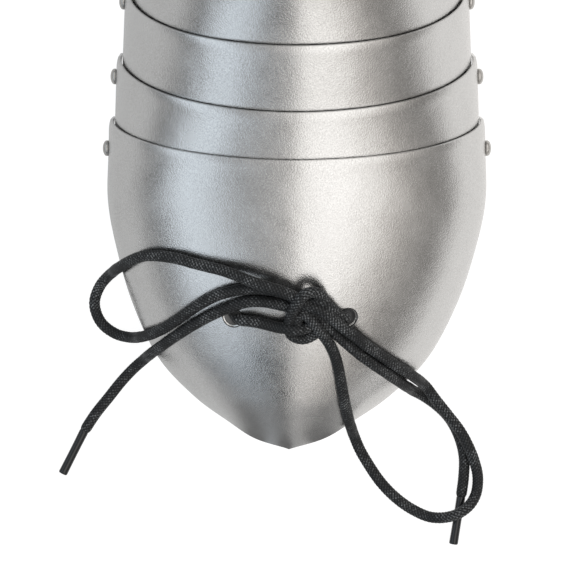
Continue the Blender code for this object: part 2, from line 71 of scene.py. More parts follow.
# Columns: along, wide, ridge, wall, lean in degrees, square.
FORM = np.array((
    (0.000, 0.000, 0.045, 0.09, 0.0, 2.00),
    (0.016, 0.184, 0.112, 0.22, 0.0, 2.00),
    (0.041, 0.328, 0.180, 0.34, 0.0, 2.10),
    (0.079, 0.518, 0.267, 0.50, 0.0, 2.20),
    (0.136, 0.714, 0.359, 0.66, 1.0, 2.30),
    (0.214, 0.855, 0.442, 0.81, 3.0, 2.40),
    (0.290, 0.941, 0.498, 0.93, 6.0, 2.50),
    (0.364, 0.994, 0.536, 0.98, 9.5, 2.60),
    (0.440, 0.992, 0.563, 1.00, 12.5, 2.70),
    (0.544, 0.983, 0.611, 1.03, 20.5, 2.70),
    (0.652, 0.968, 0.697, 1.13, 22.5, 2.70),
    (0.757, 0.946, 0.777, 1.38, 27.0, 2.60),
    (0.860, 0.922, 0.869, 1.88, 33.0, 2.50),
    (1.000, 0.874, 1.000, 2.75, 40.0, 2.40),
))
FORM_SCALES = np.array((FOOT_LENGTH, HALF_WIDTH, RIDGE_HEIGHT, RIVET_HEIGHT, math.pi / 180, 1.0))
FIRST_RIVET_ROW = 8
LAST_ROW = len(FORM) - 1
BODIES = ("toe_cap", "lame_1", "lame_2", "lame_3", "lame_4", "instep_plate")
JOINTS = len(BODIES) - 1

# Rivets.
SHANK_RADIUS = 0.0016
HEAD_RADIUS = 0.0026
HEAD_HEIGHT = 0.0019       # from the plate to the top of the dome
HEAD_RIM = 0.0006          # upright part of the head, under the dome
HEAD_BEVEL = 0.00012       # where the rim meets the plate
TAIL_RADIUS = 0.0024
TAIL_HEIGHT = 0.0012
TAIL_STEP = 0.00005        # the tail's flat face, just clear of the sheet
TAIL_BEVEL = 0.0002

# Lace holes and lace.
HOLE_RADIUS = 0.0030
HOLE_LIP = 0.00060         # rounding of a lace hole's rim
HOLE_ALONG = 0.0445
HOLE_ASIDE = 0.0185
HOLE_SHIFT = -0.0015       # both holes lie this much to the left of the middle
DRILL_ABOVE = 0.0012       # how far the drill reaches out of the cap, and into it
DRILL_BELOW = 0.004
CORD_RADIUS = 0.0018
CORD_STEP = 0.00036        # between the rings of a cord's mesh
CORD_SIDES = 32
BRAID_PITCH = 0.0096       # one turn of a strand round the cord
BRAID_STRANDS = 8          # strands each way
BRAID_DEPTH = 0.00022
BRAID_MEAN = 0.6           # the crown value at which the cord has its own radius
CORD_END = 0.0016          # over this length an end narrows by the share below
CORD_END_SHARE = 0.28
FLOOR_FILM = 0.00002       # the lowest height of a cord's mesh
AGLET_RADIUS = 0.0015
AGLET_LENGTH = 0.0160
AGLET_ENDS = {"left": (-0.0792, -0.0096, 0.0016), "right": (0.0526, -0.0310, 0.0016)}

# Stretches of the lace: aside from the centre line, behind the tip, above the floor.
ROUTES = {
    "run_left": (
        (-0.0013, 0.0470, 0.0300), (-0.0060, 0.0472, 0.0300), (-0.0116, 0.0486, 0.0300),
        (-0.0162, 0.0495, 0.0300), (-0.0194, 0.0488, 0.0315), (-0.0210, 0.0473, 0.0346),
        (-0.0206, 0.0457, 0.0379), (-0.0198, 0.0446, 0.0407), (-0.0191, 0.0439, 0.0426),
        (-0.0177, 0.0435, 0.0437), (-0.0158, 0.0433, 0.0444), (-0.0131, 0.0429, 0.0445),
    ),
    "knot_left_first": (
        (-0.0052, 0.0411, 0.0458), (-0.0033, 0.0409, 0.0470), (-0.0014, 0.0406, 0.0473),
        (0.0005, 0.0405, 0.0470), (0.0025, 0.0409, 0.0462), (0.0041, 0.0420, 0.0456),
        (0.0052, 0.0438, 0.0459), (0.0054, 0.0458, 0.0471), (0.0044, 0.0479, 0.0488),
        (0.0026, 0.0494, 0.0501), (0.0007, 0.0504, 0.0511),
    ),
    "loop_left": (
        (-0.0035, 0.0524, 0.0524), (-0.0097, 0.0544, 0.0533), (-0.0154, 0.0564, 0.0530),
        (-0.0200, 0.0582, 0.0516), (-0.0242, 0.0597, 0.0498), (-0.0286, 0.0608, 0.0482),
        (-0.0334, 0.0620, 0.0465), (-0.0380, 0.0633, 0.0448), (-0.0422, 0.0641, 0.0428),
        (-0.0460, 0.0645, 0.0404), (-0.0493, 0.0645, 0.0379), (-0.0520, 0.0639, 0.0351),
        (-0.0543, 0.0630, 0.0322), (-0.0562, 0.0621, 0.0291), (-0.0578, 0.0612, 0.0260),
        (-0.0591, 0.0605, 0.0228), (-0.0599, 0.0601, 0.0194), (-0.0604, 0.0598, 0.0155),
        (-0.0609, 0.0596, 0.0114), (-0.0616, 0.0591, 0.0077), (-0.0630, 0.0581, 0.0042),
        (-0.0657, 0.0551, 0.0021), (-0.0678, 0.0490, 0.0018), (-0.0656, 0.0425, 0.0018),
        (-0.0603, 0.0385, 0.0020), (-0.0560, 0.0375, 0.0039), (-0.0539, 0.0375, 0.0072),
        (-0.0529, 0.0376, 0.0108), (-0.0521, 0.0378, 0.0149), (-0.0513, 0.0379, 0.0185),
        (-0.0498, 0.0383, 0.0216), (-0.0480, 0.0388, 0.0247), (-0.0459, 0.0397, 0.0277),
        (-0.0436, 0.0408, 0.0306), (-0.0412, 0.0423, 0.0333), (-0.0386, 0.0440, 0.0360),
        (-0.0359, 0.0459, 0.0385), (-0.0329, 0.0479, 0.0410), (-0.0296, 0.0498, 0.0433),
        (-0.0258, 0.0516, 0.0451), (-0.0214, 0.0529, 0.0469), (-0.0163, 0.0537, 0.0485),
        (-0.0105, 0.0536, 0.0495), (-0.0040, 0.0523, 0.0497),
    ),
    "knot_left_last": (
        (0.0002, 0.0503, 0.0491), (0.0025, 0.0491, 0.0485), (0.0047, 0.0473, 0.0475),
        (0.0070, 0.0448, 0.0461), (0.0092, 0.0422, 0.0449),
    ),
    "tail_right": (
        (0.0126, 0.0391, 0.0423), (0.0156, 0.0364, 0.0402), (0.0185, 0.0339, 0.0380),
        (0.0214, 0.0316, 0.0356), (0.0242, 0.0296, 0.0333), (0.0268, 0.0278, 0.0308),
        (0.0292, 0.0262, 0.0283), (0.0313, 0.0247, 0.0255), (0.0332, 0.0235, 0.0226),
        (0.0348, 0.0224, 0.0195), (0.0361, 0.0215, 0.0164), (0.0370, 0.0210, 0.0130),
        (0.0377, 0.0205, 0.0091), (0.0389, 0.0197, 0.0056), (0.0416, 0.0183, 0.0029),
        (0.0461, 0.0153, 0.0018), (0.0510, 0.0105, 0.0018), (0.0543, 0.0044, 0.0018),
        (0.0560, -0.0023, 0.0018), (0.0559, -0.0092, 0.0018), (0.0550, -0.0161, 0.0018),
    ),
    "run_right": (
        (-0.0004, 0.0470, 0.0300), (0.0038, 0.0476, 0.0300), (0.0080, 0.0493, 0.0300),
        (0.0118, 0.0502, 0.0304), (0.0145, 0.0491, 0.0314), (0.0157, 0.0471, 0.0335),
        (0.0157, 0.0456, 0.0365), (0.0158, 0.0446, 0.0414), (0.0151, 0.0444, 0.0442),
        (0.0136, 0.0450, 0.0451), (0.0121, 0.0464, 0.0459),
    ),
    "knot_right_first": (
        (0.0105, 0.0478, 0.0483), (0.0082, 0.0493, 0.0497), (0.0057, 0.0500, 0.0495),
        (0.0033, 0.0494, 0.0485), (0.0013, 0.0476, 0.0479), (-0.0001, 0.0453, 0.0469),
        (-0.0014, 0.0431, 0.0459), (-0.0024, 0.0411, 0.0449), (-0.0023, 0.0394, 0.0441),
        (-0.0009, 0.0382, 0.0435), (0.0010, 0.0376, 0.0432), (0.0031, 0.0378, 0.0431),
        (0.0051, 0.0388, 0.0434), (0.0069, 0.0403, 0.0439), (0.0082, 0.0421, 0.0447),
        (0.0092, 0.0444, 0.0456), (0.0095, 0.0466, 0.0466), (0.0091, 0.0490, 0.0477),
        (0.0081, 0.0511, 0.0500), (0.0064, 0.0524, 0.0526), (0.0044, 0.0527, 0.0538),
        (0.0024, 0.0519, 0.0543), (0.0009, 0.0504, 0.0539), (-0.0004, 0.0485, 0.0526),
        (-0.0015, 0.0465, 0.0508), (-0.0022, 0.0445, 0.0488), (-0.0024, 0.0428, 0.0471),
        (-0.0013, 0.0417, 0.0461), (-0.0002, 0.0429, 0.0467), (0.0003, 0.0447, 0.0476),
        (0.0017, 0.0457, 0.0482), (0.0032, 0.0450, 0.0482),
    ),
    "loop_right": (
        (0.0055, 0.0426, 0.0474), (0.0079, 0.0393, 0.0456), (0.0098, 0.0368, 0.0435),
        (0.0112, 0.0344, 0.0411), (0.0123, 0.0318, 0.0385), (0.0132, 0.0289, 0.0363),
        (0.0139, 0.0256, 0.0338), (0.0145, 0.0226, 0.0312), (0.0150, 0.0197, 0.0289),
        (0.0156, 0.0170, 0.0261), (0.0161, 0.0146, 0.0233), (0.0166, 0.0124, 0.0203),
        (0.0171, 0.0105, 0.0172), (0.0176, 0.0088, 0.0141), (0.0181, 0.0075, 0.0107),
        (0.0185, 0.0062, 0.0071), (0.0193, 0.0041, 0.0039), (0.0210, 0.0001, 0.0020),
        (0.0243, -0.0056, 0.0018), (0.0283, -0.0113, 0.0018), (0.0332, -0.0163, 0.0018),
        (0.0389, -0.0203, 0.0018), (0.0443, -0.0226, 0.0026), (0.0486, -0.0228, 0.0047),
        (0.0536, -0.0215, 0.0061), (0.0578, -0.0185, 0.0048), (0.0600, -0.0149, 0.0026),
        (0.0606, -0.0093, 0.0024), (0.0595, -0.0044, 0.0041), (0.0576, 0.0005, 0.0055),
        (0.0546, 0.0061, 0.0060), (0.0505, 0.0115, 0.0062), (0.0463, 0.0168, 0.0062),
        (0.0432, 0.0209, 0.0075), (0.0412, 0.0228, 0.0104), (0.0402, 0.0236, 0.0139),
        (0.0393, 0.0242, 0.0174), (0.0379, 0.0252, 0.0207), (0.0360, 0.0264, 0.0237),
        (0.0339, 0.0276, 0.0266), (0.0316, 0.0291, 0.0293), (0.0292, 0.0307, 0.0318),
        (0.0266, 0.0325, 0.0343), (0.0241, 0.0343, 0.0368), (0.0217, 0.0359, 0.0394),
        (0.0194, 0.0378, 0.0419), (0.0170, 0.0396, 0.0442), (0.0142, 0.0417, 0.0464),
        (0.0112, 0.0442, 0.0480), (0.0074, 0.0469, 0.0494),
    ),
    "knot_right_last": (
        (0.0034, 0.0483, 0.0493), (0.0012, 0.0482, 0.0484), (-0.0011, 0.0478, 0.0480),
    ),
    "tail_left": (
        (-0.0047, 0.0484, 0.0481), (-0.0111, 0.0496, 0.0478), (-0.0166, 0.0494, 0.0467),
        (-0.0209, 0.0480, 0.0449), (-0.0252, 0.0464, 0.0430), (-0.0290, 0.0446, 0.0409),
        (-0.0323, 0.0428, 0.0387), (-0.0353, 0.0411, 0.0363), (-0.0381, 0.0393, 0.0337),
        (-0.0406, 0.0377, 0.0310), (-0.0428, 0.0362, 0.0282), (-0.0448, 0.0348, 0.0253),
        (-0.0464, 0.0337, 0.0222), (-0.0478, 0.0327, 0.0190), (-0.0487, 0.0320, 0.0159),
        (-0.0493, 0.0316, 0.0123), (-0.0501, 0.0310, 0.0080), (-0.0514, 0.0299, 0.0046),
        (-0.0542, 0.0275, 0.0022), (-0.0586, 0.0229, 0.0018), (-0.0630, 0.0174, 0.0018),
        (-0.0674, 0.0119, 0.0018), (-0.0713, 0.0060, 0.0018),
    ),
}
LEFT_LACE = ("run_left", "knot_left_first", "loop_left", "knot_left_last", "tail_right")
RIGHT_LACE = ("run_right", "knot_right_first", "loop_right", "knot_right_last", "tail_left")

# Fineness of the plates' grids.
ARCH_STEPS = 150
WALL_STEPS = 8
CAP_ROWS = 190
LAME_ROWS = 44
INSTEP_ROWS = 90
EDGE_STEPS = 5
START_STEPS = 400          # tries for where the toe cap's inside begins
CAP_SEARCH = (500, 401)    # points along and across the cap for seating a hole
DOME_STEPS = 12
HOLE_STEPS = 5
AGLET_STEPS = 30
RIVET_SIDES = 48
AGLET_SIDES = 40
DRILL_SIDES = 64
PLATE_CREASE = 38          # degrees from which an edge is shaded sharp
RIVET_CREASE = 50

# Camera and light.
CAMERA_HEIGHT = 1.2
CAMERA_PLACE = (-0.00397, 0.055)     # aside, and behind the tip
LENS = 225.8
SENSOR = 36.0
VIEW_DEPTH = 20.0
FLOOR_HALF = 4.0           # half the table's side
TABLE_LIGHT = 0.92         # radiance of the table as the camera sees it
GLOW_CENTRE = -0.085       # the point on the table that the toe's glow turns about
MASK_CENTRE = -0.066       # the shade under the toe cap
MASK_HALF_WIDTH = 0.042
MASK_HALF_LENGTH = 0.044
MASK_CORE = 0.30           # share of the shade that is fully dark
SKY_PEAK = 1.9             # above every radiance below
BAND_REACH = 100           # the bands' tables run this many degrees each way
HORIZON_SPREAD = 1.26      # how much wider the bands at the horizon grow with height
HORIZON_FROM = math.sin(math.radians(42))    # the overhead light fades out from here
HORIZON_TO = math.sin(math.radians(62))      # to here, as a direction leans along the foot

# The room's light overhead and near the horizon: degrees across, radiance, warmth.
OVERHEAD = (
    (-100, 0.60, 0.00), (-86, 0.52, 0.00), (-80, 0.26, -0.01), (-70, 0.20, -0.03),
    (-62, 1.12, -0.07), (-54, 1.26, -0.09), (-42, 1.16, -0.09), (-34, 0.86, -0.07),
    (-27, 0.40, -0.03), (-16, 0.42, 0.00), (-9, 0.58, 0.03), (-3, 0.92, 0.04), (6, 1.42, 0.03),
    (12, 1.80, 0.02), (26, 1.78, 0.02), (36, 1.15, 0.05), (46, 0.72, 0.06), (56, 0.46, 0.05),
    (68, 0.30, 0.04), (80, 0.30, 0.04), (90, 0.62, 0.03), (100, 0.80, 0.03),
)
HORIZON = (
    (-100, 0.60, 0.00), (-46, 0.60, -0.02), (-36, 0.40, -0.02), (-31, 0.03, -0.03),
    (-26, 0.03, -0.04), (-22, 0.85, -0.10), (-16, 0.85, -0.10), (-12, 0.05, -0.06),
    (-3, 0.03, -0.03), (1, 1.10, 0.02), (12, 1.00, 0.05), (17, 0.60, 0.06), (21, 0.06, 0.05),
    (30, 0.05, 0.04), (38, 0.25, 0.03), (46, 0.75, 0.03), (100, 0.85, 0.03),
)
# What the table throws back at low angles, by the turn about a point under the toe cap.
TABLE_GLOW = (
    (-100, 0.48, 0.00), (-42, 0.52, 0.00), (-34, 0.30, 0.00), (-28, 0.02, -0.03),
    (-20, 0.02, -0.04), (-16, 0.22, -0.08), (-12, 0.14, -0.06), (-9, 0.00, 0.00), (-3, 0.00, 0.00),
    (0, 0.26, 0.00), (6, 0.30, 0.02), (11, 0.02, 0.03), (20, 0.02, 0.03), (26, 0.22, 0.02),
    (36, 0.78, 0.02), (100, 0.84, 0.02),
)


def linear(hex_colour):
    """An sRGB hex colour as linear red, green, blue and 1."""
    parts = [int(hex_colour[index:index + 2], 16) / 255 for index in (0, 2, 4)]
    return (*[part / 12.92 if part <= 0.04045 else ((part + 0.055) / 1.055) ** 2.4
              for part in parts], 1.0)


def add_node(tree, kind, links=(), **settings):
    """One shader node. A setting named like an input sets that socket, another one the
    node's own property. links pairs an input with an output socket or with a number."""
    node = tree.nodes.new("ShaderNode" + kind)
    for name, value in settings.items():
        if hasattr(node, name):
            setattr(node, name, value)
        else:
            node.inputs[name.replace("_", " ")].default_value = value
    for name, source in links:
        if isinstance(source, bpy.types.NodeSocket):
            tree.links.new(source, node.inputs[name])
        else:
            node.inputs[name].default_value = source
    return node


def new_finish(name):
    """An empty material with its Principled shader: (material, node tree, shader)."""
    material = bpy.data.materials.new(name)
    material.use_nodes = True
    tree = material.node_tree
    return material, tree, tree.nodes["Principled BSDF"]


def ground_steel(name, light, dark, roughness, grit):
    """Mild steel sheet, rough ground with abrasive cloth and waxed. The eye sees soft
    broad bands of light, a fine sandy sparkle, faint cross scratches and a little
    unevenness of colour where hands have polished it. grit is the grain's size, about
    half a millimetre, which is coarser than the real one so that it shows. The clouds
    of colour are 12 mm across and the dents 14 mm, and a scratch is 8 mm by 0.5 mm."""
    material, tree, shader = new_finish(name)
    place = add_node(tree, "TexCoord").outputs["Object"]
    grain = add_node(tree, "TexNoise", [("Vector", place)], Scale=1 / grit, Detail=2.0,
                     Roughness=0.6).outputs["Fac"]
    cloud = add_node(tree, "TexNoise", [("Vector", place)], Scale=85.0, Detail=3.0,
                     Roughness=0.6).outputs["Fac"]
    wave = add_node(tree, "TexNoise", [("Vector", place)], Scale=70.0, Detail=2.0,
                    Roughness=0.5).outputs["Fac"]
    turned = add_node(tree, "Mapping", [("Vector", place)], Rotation=(0.4, 0.2, 0.9),
                      Scale=(1.0, 14.0, 14.0)).outputs["Vector"]
    scratch = add_node(tree, "TexNoise", [("Vector", turned)], Scale=130.0,
                       Detail=4.0).outputs["Fac"]
    speck = add_node(tree, "MapRange", [("Value", grain)], From_Min=0.32, From_Max=0.68)
    sandy = add_node(tree, "Mix", [("Factor", speck.outputs[0]), (6, linear(dark)),
                                   (7, linear(light))], data_type="RGBA")
    tone = add_node(tree, "Mix", [("Factor", cloud), (6, sandy.outputs[2]), (7, linear(light))],
                    data_type="RGBA")
    tree.links.new(tone.outputs[2], shader.inputs["Base Color"])
    rough = add_node(tree, "MapRange", [("Value", cloud)], From_Min=0.30, From_Max=0.70,
                     To_Min=roughness - 0.04, To_Max=roughness + 0.05)
    tree.links.new(rough.outputs[0], shader.inputs["Roughness"])
    low = add_node(tree, "Bump", [("Height", wave)], Strength=0.35, Distance=0.0006)
    lines = add_node(tree, "Bump", [("Height", scratch), ("Normal", low.outputs[0])],
                     Strength=0.04, Distance=0.00006)
    fine = add_node(tree, "Bump", [("Height", grain), ("Normal", lines.outputs[0])],
                    Strength=0.6, Distance=0.00012)
    tree.links.new(fine.outputs[0], shader.inputs["Normal"])
    shader.inputs["Metallic"].default_value = 1.0
    return material


def waxed_cotton():
    """Black cotton braid drawn through wax. The eye sees near-black strands, a dull
    shine on their crowns and pale flecks on the crowns, part wax and part a painted
    highlight. A fleck is 0.8 mm across, in patches of 8 mm. The fibres are 0.24 mm,
    coarser than cotton's own so that they show. The attribute crown is high in the
    middle of each strand on top."""
    material, tree, shader = new_finish("waxed_braided_cotton")
    place = add_node(tree, "TexCoord").outputs["Object"]
    fleck = add_node(tree, "TexNoise", [("Vector", place)], Scale=1300.0, Detail=1.0,
                     Roughness=0.5).outputs["Fac"]
    patch = add_node(tree, "TexNoise", [("Vector", place)], Scale=120.0, Detail=2.0,
                     Roughness=0.5).outputs["Fac"]
    fibre = add_node(tree, "TexNoise", [("Vector", place)], Scale=4200.0, Detail=2.0,
                     Roughness=0.7).outputs["Fac"]
    crown = add_node(tree, "Attribute", attribute_name="crown").outputs["Fac"]
    some = add_node(tree, "Math", [(0, fleck), (1, patch)], operation="MULTIPLY")
    share = add_node(tree, "MapRange", [("Value", some.outputs[0])], From_Min=0.22, From_Max=0.38,
                     To_Min=0.16)
    # The pale flecks on the crowns are part wax and part a painted highlight.
    tip = add_node(tree, "MapRange", [("Value", crown)], From_Min=0.50)
    wax_and_highlight = add_node(tree, "Math", [(0, share.outputs[0]), (1, tip.outputs[0])],
                    operation="MULTIPLY")
    base = add_node(tree, "Mix", [("Factor", wax_and_highlight.outputs[0]), (6, linear("1b1c1d")),
                                  (7, linear("909395"))], data_type="RGBA")
    tree.links.new(base.outputs[2], shader.inputs["Base Color"])
    rough = add_node(tree, "MapRange", [("Value", fibre)], To_Min=0.42, To_Max=0.66)
    tree.links.new(rough.outputs[0], shader.inputs["Roughness"])
    bump = add_node(tree, "Bump", [("Height", fibre)], Strength=0.5, Distance=0.00006)
    tree.links.new(bump.outputs[0], shader.inputs["Normal"])
    shader.inputs["Specular IOR Level"].default_value = 0.14
    return material


def lace_tip_plastic():
    """Clear acetate over black, rolled hot round the lace's end. The eye sees a hard
    gloss with fine handling scratches, 1.1 mm apart."""
    material, tree, shader = new_finish("black_acetate")
    place = add_node(tree, "TexCoord").outputs["Object"]
    rub = add_node(tree, "TexNoise", [("Vector", place)], Scale=900.0, Detail=4.0,
                   Roughness=0.7).outputs["Fac"]
    base = add_node(tree, "Mix", [("Factor", rub), (6, linear("0c0d0f")), (7, linear("1d1f22"))],
                    data_type="RGBA")
    tree.links.new(base.outputs[2], shader.inputs["Base Color"])
    rough = add_node(tree, "MapRange", [("Value", rub)], To_Min=0.14, To_Max=0.32)
    tree.links.new(rough.outputs[0], shader.inputs["Roughness"])
    bump = add_node(tree, "Bump", [("Height", rub)], Strength=0.15, Distance=0.00005)
    tree.links.new(bump.outputs[0], shader.inputs["Normal"])
    shader.inputs["IOR"].default_value = 1.48
    return material


def mesh_piece(name, points, faces, finish):
    """A smooth-shaded object at the origin from an array of points and a face list."""
    mesh = bpy.data.meshes.new(name)
    mesh.from_pydata(points.reshape(-1, 3).tolist(), [], faces)
    mesh.validate()
    mesh.shade_smooth()
    mesh.materials.append(finish)
    piece = bpy.data.objects.new(name, mesh)
    bpy.context.scene.collection.objects.link(piece)
    return piece


def face_outward(piece, merge=0.0, sliver=0.0, close=False):
    """Joins points closer than merge, takes out faces thinner than sliver, fills open
    ends where asked, and turns every face outward."""
    work = bmesh.new()
    work.from_mesh(piece.data)
    if merge:
        bmesh.ops.remove_doubles(work, verts=work.verts, dist=merge)
    if sliver:
        bmesh.ops.dissolve_degenerate(work, edges=work.edges, dist=sliver)
    if close:
        bmesh.ops.holes_fill(work, edges=work.edges, sides=0)
    bmesh.ops.recalc_face_normals(work, faces=work.faces)
    work.to_mesh(piece.data)
    work.free()
    return piece


def grid_faces(rows, columns, wrap_rows=False, wrap_columns=False):
    """Quads of a grid whose points are counted row by row, wrapped where asked."""
    row = np.arange(rows if wrap_rows else rows - 1)
    column = np.arange(columns if wrap_columns else columns - 1)
    near, across = np.meshgrid(row, column, indexing="ij")
    far = (near + 1) % rows
    next_across = (across + 1) % columns
    quads = np.stack([near * columns + across, near * columns + next_across,
                      far * columns + next_across, far * columns + across], axis=-1)
    return quads.reshape(-1, 4)


def form_rows(rows):
    """Form values at row numbers: a smooth cubic through the table's neighbours, whose
    slope at each row is half the step between the rows on either side."""
    index = np.clip(rows.astype(int), 0, LAST_ROW - 1)
    share = (rows - index)[..., None]
    table = np.vstack([2 * FORM[0] - FORM[1], FORM, 2 * FORM[-1] - FORM[-2]])
    before, start, end, after = (table[index + step] for step in range(4))
    square = share * share
    cube = square * share
    values = (start * (2 * cube - 3 * square + 1) + end * (3 * square - 2 * cube)
              + (end - before) / 2 * (cube - 2 * square + share)
              + (after - start) / 2 * (cube - square))
    return values * FORM_SCALES


def foot_of_last_row():
    """How far behind the tip the last section's wall meets the floor."""
    along, _, _, wall, lean, _ = form_rows(np.array([float(LAST_ROW)]))[0]
    return along + wall * math.tan(lean * WALL_LEAN_SHARE)


TIP_Y = -foot_of_last_row() / 2


def toe_turn(along):
    """Sideways turn of the centre line: TOE_SWEEP at the tip, fading as a square."""
    left = 1 - along / (FORM[FIRST_RIVET_ROW][0] * FOOT_LENGTH)
    return -TOE_SWEEP * np.maximum(left, 0.0) ** 2


def form_surface(rows, turns, inset):
    """Points of the form on a grid of rows, down it, by turns, across it. Across a
    section, aside is the half width times the sine of a quarter turn, and the rise is the
    reach above the wall, less the keel's slope, times the root of 1 less the sine to the
    power square. The rise leans to the toe. From turn 1 to 2 the straight wall goes down
    to the floor."""
    along, wide, ridge, wall, lean, square = np.moveaxis(form_rows(rows), -1, 0)
    wide = np.maximum(wide - inset, 0.0)
    swing = np.sin(np.clip(turns, -1, 1) * np.pi / 2)[None, :]
    drop = np.clip(np.abs(turns) - 1, 0, 1)[None, :]
    aside = wide * swing
    reach = (ridge - wall) / np.cos(lean) - inset
    keel = KEEL_SLOPE * (np.hypot(aside, KEEL_ROUND) - KEEL_ROUND)
    rise = (reach - keel) * np.sqrt(np.maximum(1 - np.abs(swing) ** square, 0))
    height = wall * (1 - drop) + rise * np.cos(lean)
    along = along - rise * np.sin(lean) + wall * drop * np.tan(lean * WALL_LEAN_SHARE)
    return np.stack([aside + toe_turn(along), TIP_Y + along, height], axis=-1)


def section_turns():
    """Turns from the left foot over the ridge to the right foot."""
    wall = np.linspace(2, 1, WALL_STEPS, endpoint=False)
    arch = np.linspace(-1, 1, ARCH_STEPS + 1)
    return np.concatenate([-wall, arch, wall[::-1]])


def nesting(plate):
    """How far plate number plate, counted from the toe cap, lies inside the form."""
    return plate * (SHEET + RUNNING_GAP)


def filed_edge(outer, inner, outward):
    """Rows that round an edge over from the outer to the inner surface: a half circle
    pressed square, half the sheet high and EDGE_BULGE deep, along the outward way."""
    angle = np.linspace(0, np.pi, EDGE_STEPS + 2)[1:-1, None, None]
    middle = (outer + inner) / 2
    half = (outer - inner) / 2
    cosine = np.sign(np.cos(angle)) * np.abs(np.cos(angle)) ** EDGE_SQUARENESS
    sine = np.sin(angle) ** EDGE_SQUARENESS
    return middle + half * cosine + outward * EDGE_BULGE * sine


def along_rows(rows, end):
    """Unit way out of a grid of rows over its first or last row."""
    way = rows[0] - rows[1] if end == 0 else rows[-1] - rows[-2]
    return way / np.maximum(np.linalg.norm(way, axis=-1, keepdims=True), 1e-9)


def rear_sweep(plate, turns):
    """How many rows further back a plate's rear edge runs: a value on the ridge, and a
    growth to the sides that follows half of 1 less the cosine of the turn."""
    middle, growth, _ = REAR_EDGES[plate]
    return middle + growth * (1 - np.cos(np.pi * np.minimum(np.abs(turns), 1))) / 2


def plate_piece(name, plate, first_row, last_row, row_count, finish):
    """A plate of sheet steel: the form's surface, the same surface one sheet further in,
    filed edges at the rear and, behind the toe cap, at the front, and flat feet."""
    turns = section_turns()
    down = np.linspace(0, 1, row_count)[:, None]
    rear_row = last_row + rear_sweep(plate, turns)
    lip = REAR_EDGES[plate][2]
    start = first_row
    if plate == 0:
        fine = np.linspace(0, 1, START_STEPS)
        start = fine[np.argmax(form_rows(fine)[:, 1] > SHEET)]
    skins = []
    for begin, inset in ((first_row, nesting(plate)), (start, nesting(plate) + SHEET)):
        rows = begin + (rear_row - begin) * down
        dressed = lip * np.clip(1 - (rear_row - rows) / LIP_ROWS, 0, 1) ** 2
        skins.append(form_surface(rows, turns, inset + dressed))
    outer, inner = skins
    rear = filed_edge(outer[-1], inner[-1], along_rows(outer, -1))
    loops = [outer, rear, inner[::-1]]
    if plate:
        loops.append(filed_edge(inner[0], outer[0], along_rows(outer, 0)))
    points = np.concatenate(loops)
    count, across = points.shape[:2]
    faces = grid_faces(count, across, wrap_rows=plate > 0)[:, ::-1].tolist()
    back = row_count + EDGE_STEPS
    row = np.arange(row_count - 1)
    twin = back + row_count - 1 - row
    for column, step in ((0, 1), (across - 1, -1)):
        foot = np.stack([row, row + 1, twin - 1, twin], axis=-1) * across + column
        faces += foot[:, ::step].tolist()
        end = [(row_count - 1 + turn) * across + column for turn in range(EDGE_STEPS + 2)]
        faces.append(end[::step])
        if plate:
            front = [(back + row_count - 1 + turn) % count * across + column
                     for turn in range(EDGE_STEPS + 2)]
            faces.append(front[::step])
    points[..., 2] = np.maximum(points[..., 2], 0.0)
    return face_outward(mesh_piece(name, points, faces, finish), merge=1e-7, sliver=1e-8)


def turned_piece(name, outline, origin, way, sides, finish):
    """A shape turned on a lathe: outline is (radius, height) pairs from the top down,
    carried round the axis that starts at origin and points along way."""
    axis = Vector(way).normalized()
    side = np.array(axis.orthogonal().normalized())
    axis = np.array(axis)
    other = np.cross(axis, side)
    angle = np.linspace(0, 2 * np.pi, sides, endpoint=False)[None, :, None]
    radius, height = (np.array(column)[:, None, None] for column in zip(*outline))
    round_axis = radius * (np.cos(angle) * side + np.sin(angle) * other)
    points = np.array(origin) + round_axis + height * axis
    faces = grid_faces(len(outline), sides, wrap_columns=True).tolist()
    return face_outward(mesh_piece(name, points, faces, finish), merge=1e-6, close=True)


def cut_hole(piece, cutter):
    """Take the cutter's shape out of a piece for good, and delete the cutter."""
    cut = piece.modifiers.new("hole", "BOOLEAN")
    cut.operation = "DIFFERENCE"
    cut.solver = "EXACT"
    cut.object = cutter
    bpy.context.view_layer.update()
    evaluated = piece.evaluated_get(bpy.context.evaluated_depsgraph_get())
    shape = bpy.data.meshes.new_from_object(evaluated)
    piece.modifiers.clear()
    piece.data = shape
    bpy.data.objects.remove(cutter, do_unlink=True)


def cap_place(aside, along):
    """The toe cap's outer point and outward way nearest a plan position."""
    rows = np.linspace(0.5, FIRST_RIVET_ROW, CAP_SEARCH[0])[:, None]
    turns = np.linspace(-1, 1, CAP_SEARCH[1])
    surface = form_surface(rows, turns, 0.0)
    miss = np.hypot(surface[..., 0] - aside, surface[..., 1] - TIP_Y - along)
    row, turn = np.unravel_index(miss.argmin(), miss.shape)
    behind = surface[row + 1, turn] - surface[row - 1, turn]
    across = surface[row, turn + 1] - surface[row, turn - 1]
    out = np.cross(across, behind)
    return surface[row, turn], out / np.linalg.norm(out)


def pivot(joint):
    """Half width of the form, place behind the tip and height of a pair of rivets."""
    along, wide, _, wall, _, _ = form_rows(np.array([float(FIRST_RIVET_ROW + joint - 1)]))[0]
    return wide, TIP_Y + along, wall


